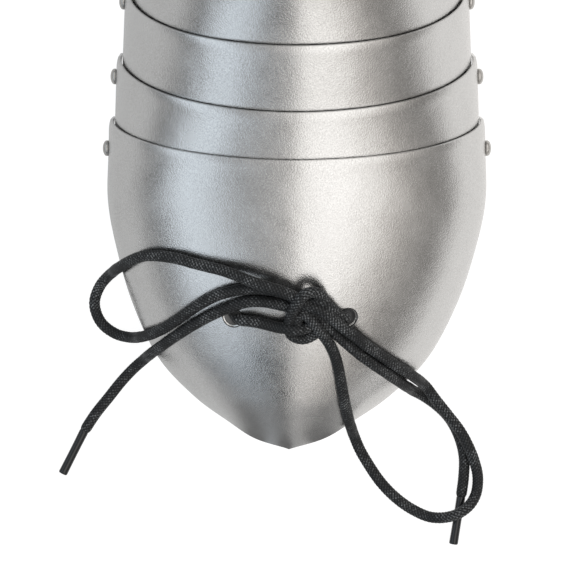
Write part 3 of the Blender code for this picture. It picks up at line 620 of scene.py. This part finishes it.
def rivet_outline():
    """From the top of the domed head down the shank to the hammered tail. The outer
    plate's face is height 0."""
    quarter = np.linspace(0, np.pi / 2, DOME_STEPS)
    dome = [(HEAD_RADIUS * math.sin(a), HEAD_RIM + (HEAD_HEIGHT - HEAD_RIM) * math.cos(a))
            for a in quarter[1:]]
    rim = [(HEAD_RADIUS, HEAD_BEVEL), (HEAD_RADIUS - HEAD_BEVEL, 0.0)]
    grip = 2 * SHEET + RUNNING_GAP
    shank = [(SHANK_RADIUS, 0.0), (SHANK_RADIUS, TAIL_STEP - grip),
             (TAIL_RADIUS - TAIL_BEVEL, TAIL_STEP - grip)]
    tail = [(TAIL_RADIUS * math.cos(a), -grip - TAIL_HEIGHT * math.sin(a)) for a in quarter]
    return [(0.0, HEAD_HEIGHT), *dome, *rim, *shank, *tail]


def smooth_line(points, step):
    """Points step apart on the curve through the given ones: a cubic between each pair,
    whose slope at a point comes from its neighbours by their distances."""
    points = np.array(points)
    walk = np.concatenate([[0], np.cumsum(np.linalg.norm(np.diff(points, axis=0), axis=1))])
    slope = np.gradient(points, walk, axis=0)
    fine = np.linspace(0, walk[-1], int(walk[-1] / step * 1.5))
    index = np.clip(np.searchsorted(walk, fine, side="right") - 1, 0, len(walk) - 2)
    span = (walk[index + 1] - walk[index])[:, None]
    share = ((fine - walk[index])[:, None]) / span
    square = share * share
    cube = square * share
    curve = (points[index] * (2 * cube - 3 * square + 1)
             + points[index + 1] * (3 * square - 2 * cube)
             + slope[index] * span * (cube - 2 * square + share)
             + slope[index + 1] * span * (cube - square))
    walk = np.concatenate([[0], np.cumsum(np.linalg.norm(np.diff(curve, axis=0), axis=1))])
    even = np.linspace(0, walk[-1], int(round(walk[-1] / step)) + 1)
    return np.stack([np.interp(even, walk, curve[:, axis]) for axis in range(3)], axis=1)


def carried_frames(line):
    """Two unit vectors square to a line at each point, carried along without twist: each
    one is the last, less its part along the new direction."""
    way = np.gradient(line, axis=0)
    way /= np.linalg.norm(way, axis=1, keepdims=True)
    first = np.empty_like(line)
    side = np.array(Vector(way[0]).orthogonal().normalized())
    for index, ahead in enumerate(way):
        side = side - ahead * (side @ ahead)
        side /= np.linalg.norm(side)
        first[index] = side
    return first, np.cross(way, first)


def braided_cord(name, line, finish):
    """A cord carried along a line. Two sets of strands wind round it, one each way. The
    radius is the cord's own less a depth that grows towards the edges of the strand on
    top, and the two sets take turns on top like the squares of a chessboard. The value
    crown is 1 on the middle of the strand on top and 0 at its edges."""
    first, second = carried_frames(line)
    rings = len(line)
    walk = np.arange(rings)[:, None] * CORD_STEP
    angle = np.linspace(0, 2 * np.pi, CORD_SIDES, endpoint=False)[None, :]
    lead = BRAID_STRANDS / 2 * (angle + 2 * np.pi * walk / BRAID_PITCH)
    trail = BRAID_STRANDS / 2 * (angle - 2 * np.pi * walk / BRAID_PITCH)
    crown = np.abs(np.cos(lead) * np.cos(trail)) ** 0.5
    ends = np.minimum(np.arange(rings), np.arange(rings)[::-1])[:, None] * CORD_STEP
    taper = 1 - CORD_END_SHARE * np.clip(1 - ends / CORD_END, 0, 1) ** 2
    radius = (CORD_RADIUS + BRAID_DEPTH * (crown - BRAID_MEAN)) * taper
    points = (line[:, None, :] + (radius * np.cos(angle))[..., None] * first[:, None, :]
              + (radius * np.sin(angle))[..., None] * second[:, None, :])
    points[..., 2] = np.maximum(points[..., 2], FLOOR_FILM)
    faces = grid_faces(rings, CORD_SIDES, wrap_columns=True).tolist()
    faces.append(list(range(CORD_SIDES)))
    faces.append(list(range((rings - 1) * CORD_SIDES, rings * CORD_SIDES))[::-1])
    cord = mesh_piece(name, points, faces, finish)
    values = cord.data.attributes.new("crown", "FLOAT", "POINT")
    values.data.foreach_set("value", crown.astype(np.float32).ravel())
    return face_outward(cord)


def route_line(names):
    """The line through stretches of the lace, no lower than a cord lies on the floor."""
    points = np.concatenate([np.array(ROUTES[name]) for name in names])
    points[:, 1] += TIP_Y
    line = smooth_line(points, CORD_STEP)
    line[:, 2] = np.maximum(line[:, 2], CORD_RADIUS)
    return line


def aglet_piece(side, tail_end, finish):
    """The lace's rolled plastic tip: a tube with a lip where the cord goes in and a
    rounded end, slightly narrower in the middle."""
    aside, along, height = AGLET_ENDS[side]
    way = np.array((aside, TIP_Y + along, height)) - tail_end
    way /= np.linalg.norm(way)
    share = np.linspace(1, 0, AGLET_STEPS)
    waist = 0.955 + 0.045 * (2 * share - 1) ** 2
    body = list(zip(AGLET_RADIUS * waist, AGLET_LENGTH * (0.03 + 0.94 * share)))
    round_end = [(0.0, AGLET_LENGTH), (AGLET_RADIUS * 0.78, AGLET_LENGTH),
                 (AGLET_RADIUS * 0.93, AGLET_LENGTH * 0.99)]
    lip = [(AGLET_RADIUS * 0.98, 0.0001), (AGLET_RADIUS * 0.9, -0.0003), (0.0, -0.0003)]
    return turned_piece(f"aglet_tip_{side}", [*round_end, *body, *lip], tail_end, way,
                        AGLET_SIDES, finish)


def make_camera():
    """The camera straight above, at the photograph's distance and angle."""
    camera = bpy.data.objects.new("camera", bpy.data.cameras.new("camera"))
    bpy.context.scene.collection.objects.link(camera)
    camera.location = (CAMERA_PLACE[0], TIP_Y + CAMERA_PLACE[1], CAMERA_HEIGHT)
    camera.data.sensor_width = SENSOR
    camera.data.lens = LENS
    camera.data.clip_end = VIEW_DEPTH
    bpy.context.scene.camera = camera


def make_lace():
    """Both halves of the lace with their aglets."""
    cotton = waxed_cotton()
    plastic = lace_tip_plastic()
    halves = (
        ("lace_left_half", LEFT_LACE, "right",
         ("lace_run_left", "lace_loop_left", "lace_tail_right")),
        ("lace_right_half", RIGHT_LACE, "left",
         ("lace_run_right", "lace_loop_right", "lace_tail_left", "lace_knot")),
    )
    for name, stretches, tip_side, stands_for in halves:
        line = route_line(stretches)
        cord = braided_cord(name, line, cotton)
        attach(cord, "toe_cap")
        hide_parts(*stands_for)
        tip = aglet_piece(tip_side, line[-1], plastic)
        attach(tip, "toe_cap")
        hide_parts(f"aglet_{tip_side}")


def drill_lace_holes(cap, finish):
    """Both lace holes, square to the cap. A drill's rim widens by a quarter circle of
    HOLE_LIP where it leaves the steel, which rounds the hole's edge."""
    quarter = np.linspace(np.pi / 2, 0, HOLE_STEPS)
    flare = HOLE_RADIUS + HOLE_LIP * np.sin(quarter)
    height = HOLE_LIP * (1 - np.cos(quarter)) - HOLE_LIP
    outline = [(0.0, DRILL_ABOVE), (HOLE_RADIUS + HOLE_LIP, DRILL_ABOVE), *zip(flare, height),
               (HOLE_RADIUS, -DRILL_BELOW), (0.0, -DRILL_BELOW)]
    for side, word in ((-1, "left"), (1, "right")):
        aside = side * HOLE_ASIDE + HOLE_SHIFT + toe_turn(HOLE_ALONG)
        place, out = cap_place(aside, HOLE_ALONG)
        cut_hole(cap, turned_piece(f"drill_{word}", outline, place, out, DRILL_SIDES, finish))


def make_plates():
    """The toe cap, four lames and the instep plate, with the holes of the lace."""
    steel = ground_steel("satin_ground_steel", "d0d0cf", "aeadac", 0.23, 0.00045)
    for plate, name in enumerate(BODIES):
        front = FIRST_RIVET_ROW + plate - 1
        first = front - FRONT_LAP if plate else 0.0
        last = front + 1 + REAR_LAP if plate < JOINTS else float(LAST_ROW)
        rows = CAP_ROWS if plate == 0 else LAME_ROWS if plate < JOINTS else INSTEP_ROWS
        piece = plate_piece(f"steel_{name}", plate, first, last, rows, steel)
        if plate == 0:
            drill_lace_holes(piece, steel)
        piece.data.set_sharp_from_angle(angle=math.radians(PLATE_CREASE))
        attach(piece, name)
        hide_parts(name)


def make_rivets():
    """A domed rivet through each pair of plates on each side."""
    steel = ground_steel("turned_rivet_steel", "bdbbb8", "9c9a97", 0.28, 0.0005)
    for joint in range(1, JOINTS + 1):
        wide, across, height = pivot(joint)
        for side, word in ((-1, "left"), (1, "right")):
            place = (side * (wide - nesting(joint - 1)), across, height)
            piece = turned_piece(f"rivet_head_{joint}_{word}", rivet_outline(), place,
                                 (side, 0.0, 0.0), RIVET_SIDES, steel)
            piece.data.set_sharp_from_angle(angle=math.radians(RIVET_CREASE))
            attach(piece, BODIES[joint - 1])
            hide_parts(f"rivet_{joint}_{word}")


def sky_ramp(tree, turn, table):
    """Colour by the turn across the room, as far as BAND_REACH each way, out of a table
    of (degrees, radiance, warmth) rows. Warmth lifts red and lowers blue by its share."""
    reach = math.radians(BAND_REACH)
    share = add_node(tree, "MapRange", [("Value", turn)], From_Min=-reach, From_Max=reach)
    ramp = add_node(tree, "ValToRGB", [("Fac", share.outputs[0])])
    marks = ramp.color_ramp.elements
    while len(marks) < len(table):
        marks.new(0.5)
    for mark, (degrees, radiance, warmth) in zip(marks, table):
        mark.position = (degrees + BAND_REACH) / (2 * BAND_REACH)
        level = radiance / SKY_PEAK
        mark.color = (level * (1 + warmth), level, level * (1 - warmth), 1.0)
    return ramp.outputs["Color"]


def lit_table():
    """White acrylic lit from below. The camera sees it white all round. In reflections
    it gives less light, in bands by the turn about GLOW_CENTRE, least ahead of the toe.
    The shade under the toe cap goes by aside over its half width and along over its half
    length, each squared and added: dark up to MASK_CORE, gone at 1."""
    material, tree, shader = new_finish("white_acrylic_table")
    shader.inputs["Base Color"].default_value = linear("7c7c7c")
    shader.inputs["Roughness"].default_value = 0.7
    spot = add_node(tree, "TexCoord").outputs["Object"]
    place = add_node(tree, "SeparateXYZ", [("Vector", spot)])
    aside, along = place.outputs["X"], place.outputs["Y"]
    ahead = add_node(tree, "Math", [(0, GLOW_CENTRE), (1, along)], operation="SUBTRACT")
    turn = add_node(tree, "Math", [(0, aside), (1, ahead.outputs[0])], operation="ARCTAN2")
    glow = sky_ramp(tree, turn.outputs[0], TABLE_GLOW)
    level = TABLE_LIGHT / SKY_PEAK
    seen = add_node(tree, "LightPath").outputs["Is Camera Ray"]
    light = add_node(tree, "Mix", [("Factor", seen), (6, glow), (7, (level, level, level, 1.0))],
                     data_type="RGBA")
    narrow = add_node(tree, "Math", [(0, aside), (1, MASK_HALF_WIDTH)],
                      operation="DIVIDE").outputs[0]
    behind = add_node(tree, "Math", [(0, along), (1, MASK_CENTRE)], operation="SUBTRACT")
    short = add_node(tree, "Math", [(0, behind.outputs[0]), (1, MASK_HALF_LENGTH)],
                     operation="DIVIDE").outputs[0]
    square = add_node(tree, "Math", [(0, narrow), (1, narrow)], operation="MULTIPLY")
    both = add_node(tree, "Math", [(0, short), (1, short), (2, square.outputs[0])],
                    operation="MULTIPLY_ADD")
    strength = add_node(tree, "MapRange", [("Value", both.outputs[0])], From_Min=MASK_CORE,
                        To_Max=SKY_PEAK)
    tree.links.new(light.outputs[2], shader.inputs["Emission Color"])
    tree.links.new(strength.outputs[0], shader.inputs["Emission Strength"])
    return material


def make_studio():
    """The lit table under a room of long soft boxes that run from the ankle's side to
    the toe's. Turn across is the angle of a direction from straight up, seen along the
    foot: a cool box on the left, a wide warm one over the right, and grey between.
    Near the horizon, ahead and behind, the light goes by the turn from the foot's line
    over one plus HORIZON_SPREAD times the direction's height, so its bands fan out."""
    corners = np.array(((-1, -1, 0), (1, -1, 0), (1, 1, 0), (-1, 1, 0))) * FLOOR_HALF
    mesh_piece("floor", corners, [(0, 1, 2, 3)], lit_table())
    world = bpy.data.worlds.new("room")
    bpy.context.scene.world = world
    world.use_nodes = True
    tree = world.node_tree
    direction = add_node(tree, "TexCoord").outputs["Generated"]
    way = add_node(tree, "SeparateXYZ", [("Vector", direction)])
    aside, up = way.outputs["X"], way.outputs["Z"]
    along = add_node(tree, "Math", [(0, way.outputs["Y"])], operation="ABSOLUTE").outputs[0]
    across = add_node(tree, "Math", [(0, aside), (1, up)], operation="ARCTAN2")
    about = add_node(tree, "Math", [(0, aside), (1, along)], operation="ARCTAN2")
    spread = add_node(tree, "Math", [(0, up), (1, HORIZON_SPREAD), (2, 1.0)],
                      operation="MULTIPLY_ADD")
    fanned = add_node(tree, "Math", [(0, about.outputs[0]), (1, spread.outputs[0])],
                      operation="DIVIDE")
    low = add_node(tree, "MapRange", [("Value", along)], From_Min=HORIZON_FROM, From_Max=HORIZON_TO)
    light = add_node(tree, "Mix", [("Factor", low.outputs[0]),
                                   (6, sky_ramp(tree, across.outputs[0], OVERHEAD)),
                                   (7, sky_ramp(tree, fanned.outputs[0], HORIZON))],
                     data_type="RGBA")
    ground = tree.nodes["Background"]
    ground.inputs["Strength"].default_value = SKY_PEAK
    tree.links.new(light.outputs[2], ground.inputs["Color"])
    bpy.context.scene.view_settings.view_transform = "Standard"


make_camera()
make_lace()
make_plates()
make_rivets()
make_studio()
